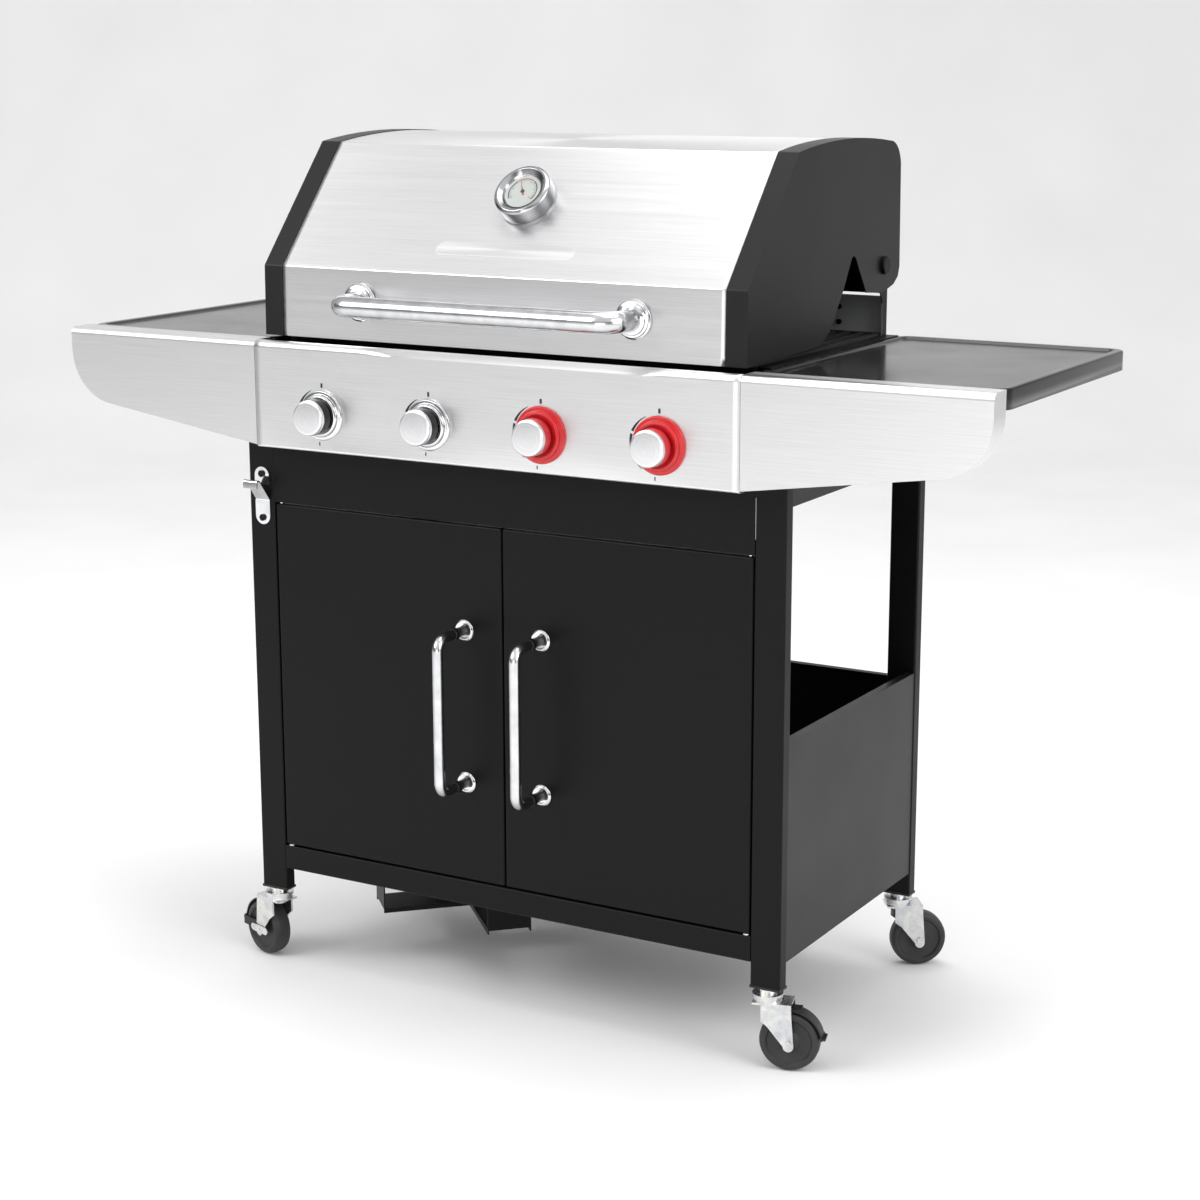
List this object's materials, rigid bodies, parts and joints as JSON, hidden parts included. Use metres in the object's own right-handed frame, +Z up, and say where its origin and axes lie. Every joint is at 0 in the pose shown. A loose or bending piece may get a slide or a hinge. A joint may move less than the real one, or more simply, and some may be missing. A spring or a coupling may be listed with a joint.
{
  "type": "gas barbecue grill",
  "caption": "Gas barbecue grill: hinged stainless lid over a firebox with knobs, side shelves and a two-door cart on castors, with a cylinder well.",
  "frame": {"origin": "centre of the whole grill's footprint box, on the ground under the castors", "axes": "+X to the user's right when facing the doors, +Y from the front to the back, +Z up"},
  "size_m": [1.3018, 0.5405, 1.1032],
  "materials": {
    "black_powder_coat": "fine satin powder coat",
    "grey_firebox_enamel": "dark grey baked enamel",
    "brushed_stainless": "brushed stainless sheet",
    "chrome": "polished chrome plate",
    "black_plastic": "moulded, slightly satin",
    "red_plastic": "glossy red moulding",
    "zinc_plate": "bright zinc plate",
    "wheel_plastic": "dark grey moulded wheel",
    "cast_grate": "matt cast iron",
    "burner_steel": "plain stainless tube",
    "brass_valve": "machined brass and steel",
    "dial_white": "printed dial",
    "clear_glass": "clear window",
    "ceramic_white": "glazed ceramic"
  },
  "bodies": {
    "cart": {"legs": "black_powder_coat", "side_panels": "black_powder_coat", "bottom_panel": "black_powder_coat", "back_panel": "black_powder_coat", "front_bottom_rail": "black_powder_coat", "front_top_panel": "black_powder_coat", "upper_rails": "black_powder_coat", "tank_cross": "black_powder_coat", "control_panel": "brushed_stainless", "wing_fascias": "brushed_stainless", "side_shelves": "black_powder_coat", "firebox_walls": "grey_firebox_enamel", "firebox_floor": "grey_firebox_enamel", "burners": "burner_steel", "flame_tamers": "burner_steel", "cooking_grates": "cast_grate", "warming_rack": "chrome", "gas_manifold": "brass_valve", "gas_inlet": "brass_valve", "igniters": "ceramic_white", "chrome_knob_bezels": "chrome", "red_knob_bezels": "red_plastic", "bottle_opener": "chrome", "screws": "zinc_plate", "door_pins": "zinc_plate", "lid_hinge_pins": "black_powder_coat", "leg_plugs": "black_plastic", "castor_stems": "zinc_plate"},
    "lid": {"lid_skin": "brushed_stainless", "lid_ends": "black_powder_coat", "lid_rear_panel": "black_powder_coat", "lid_handle": "chrome", "thermometer_body": "chrome", "thermometer_dial": "dial_white", "thermometer_glass": "clear_glass"},
    "door_left": {"door_left": "black_powder_coat", "door_handle_left": "chrome", "door_handle_posts_left": "black_plastic"},
    "door_right": {"door_right": "black_powder_coat", "door_handle_right": "chrome", "door_handle_posts_right": "black_plastic"},
    "grease_drawer": {"grease_tray": "zinc_plate", "grease_cup": "zinc_plate"},
    "valve_1": {"valve_stem_1": "zinc_plate"},
    "knob_1": {"knob_1": "chrome"},
    "valve_2": {"valve_stem_2": "zinc_plate"},
    "knob_2": {"knob_2": "chrome"},
    "valve_3": {"valve_stem_3": "zinc_plate"},
    "knob_3": {"knob_3": "chrome"},
    "valve_4": {"valve_stem_4": "zinc_plate"},
    "knob_4": {"knob_4": "chrome"},
    "castor_front_left": {"castor_fork_front_left": "zinc_plate"},
    "wheel_front_left": {"castor_wheel_front_left": "wheel_plastic"},
    "brake_front_left": {"castor_brake_front_left": "black_plastic"},
    "castor_front_right": {"castor_fork_front_right": "zinc_plate"},
    "wheel_front_right": {"castor_wheel_front_right": "wheel_plastic"},
    "brake_front_right": {"castor_brake_front_right": "black_plastic"},
    "castor_rear_left": {"castor_fork_rear_left": "zinc_plate"},
    "wheel_rear_left": {"castor_wheel_rear_left": "wheel_plastic"},
    "castor_rear_right": {"castor_fork_rear_right": "zinc_plate"},
    "wheel_rear_right": {"castor_wheel_rear_right": "wheel_plastic"}
  },
  "joints": [
    {"name": "lid_open", "type": "hinge", "parent": "cart", "child": "lid", "pos_m": [0, 0.1778, 0.942], "axis": [-1, 0, 0], "range_deg": [0, 75]},
    {"name": "door_left_open", "type": "hinge", "parent": "cart", "child": "door_left", "pos_m": [-0.3412, -0.1842, 0.4], "axis": [0, 0, -1], "range_deg": [0, 95]},
    {"name": "door_right_open", "type": "hinge", "parent": "cart", "child": "door_right", "pos_m": [0.3412, -0.1842, 0.4], "axis": [0, 0, 1], "range_deg": [0, 95]},
    {"name": "grease_drawer_slide", "type": "slide", "parent": "cart", "child": "grease_drawer", "axis": [0, 1, 0], "range_m": [0, 0.34]},
    {"name": "knob_1_push", "type": "slide", "parent": "cart", "child": "valve_1", "axis": [0, 1, 0], "range_m": [0, 0.003], "stiffness_N_per_m": 800},
    {"name": "knob_1_turn", "type": "hinge", "parent": "valve_1", "child": "knob_1", "pos_m": [-0.2415, -0.2462, 0.761], "axis": [0, -1, 0], "range_deg": [0, 180]},
    {"name": "knob_2_push", "type": "slide", "parent": "cart", "child": "valve_2", "axis": [0, 1, 0], "range_m": [0, 0.003], "stiffness_N_per_m": 800},
    {"name": "knob_2_turn", "type": "hinge", "parent": "valve_2", "child": "knob_2", "pos_m": [-0.0805, -0.2462, 0.761], "axis": [0, -1, 0], "range_deg": [0, 180]},
    {"name": "knob_3_push", "type": "slide", "parent": "cart", "child": "valve_3", "axis": [0, 1, 0], "range_m": [0, 0.003], "stiffness_N_per_m": 800},
    {"name": "knob_3_turn", "type": "hinge", "parent": "valve_3", "child": "knob_3", "pos_m": [0.0805, -0.2462, 0.761], "axis": [0, -1, 0], "range_deg": [0, 180]},
    {"name": "knob_4_push", "type": "slide", "parent": "cart", "child": "valve_4", "axis": [0, 1, 0], "range_m": [0, 0.003], "stiffness_N_per_m": 800},
    {"name": "knob_4_turn", "type": "hinge", "parent": "valve_4", "child": "knob_4", "pos_m": [0.2415, -0.2462, 0.761], "axis": [0, -1, 0], "range_deg": [0, 180]},
    {"name": "castor_front_left_swivel", "type": "hinge", "parent": "cart", "child": "castor_front_left", "pos_m": [-0.369, -0.1807, 0.09], "axis": [0, 0, 1], "continuous": true},
    {"name": "wheel_front_left_spin", "type": "hinge", "parent": "castor_front_left", "child": "wheel_front_left", "pos_m": [-0.39563, -0.17205, 0.0375], "axis": [-0.309, -0.9511, 0], "continuous": true},
    {"name": "brake_front_left_press", "type": "hinge", "parent": "castor_front_left", "child": "brake_front_left", "pos_m": [-0.39563, -0.17205, 0.0375], "axis": [-0.309, -0.9511, 0], "range_deg": [0, 12]},
    {"name": "castor_front_right_swivel", "type": "hinge", "parent": "cart", "child": "castor_front_right", "pos_m": [0.369, -0.1807, 0.09], "axis": [0, 0, 1], "continuous": true},
    {"name": "wheel_front_right_spin", "type": "hinge", "parent": "castor_front_right", "child": "wheel_front_right", "pos_m": [0.39585, -0.17275, 0.0375], "axis": [-0.284, 0.9588, 0], "continuous": true},
    {"name": "brake_front_right_press", "type": "hinge", "parent": "castor_front_right", "child": "brake_front_right", "pos_m": [0.39585, -0.17275, 0.0375], "axis": [-0.284, 0.9588, 0], "range_deg": [0, 12]},
    {"name": "castor_rear_left_swivel", "type": "hinge", "parent": "cart", "child": "castor_rear_left", "pos_m": [-0.369, 0.2133, 0.09], "axis": [0, 0, 1], "continuous": true},
    {"name": "wheel_rear_left_spin", "type": "hinge", "parent": "castor_rear_left", "child": "wheel_rear_left", "pos_m": [-0.38624, 0.23536, 0.0375], "axis": [-0.788, -0.6157, 0], "continuous": true},
    {"name": "castor_rear_right_swivel", "type": "hinge", "parent": "cart", "child": "castor_rear_right", "pos_m": [0.369, 0.2133, 0.09], "axis": [0, 0, 1], "continuous": true},
    {"name": "wheel_rear_right_spin", "type": "hinge", "parent": "castor_rear_right", "child": "wheel_rear_right", "pos_m": [0.39165, 0.22976, 0.0375], "axis": [-0.5878, 0.809, 0], "continuous": true}
  ]
}
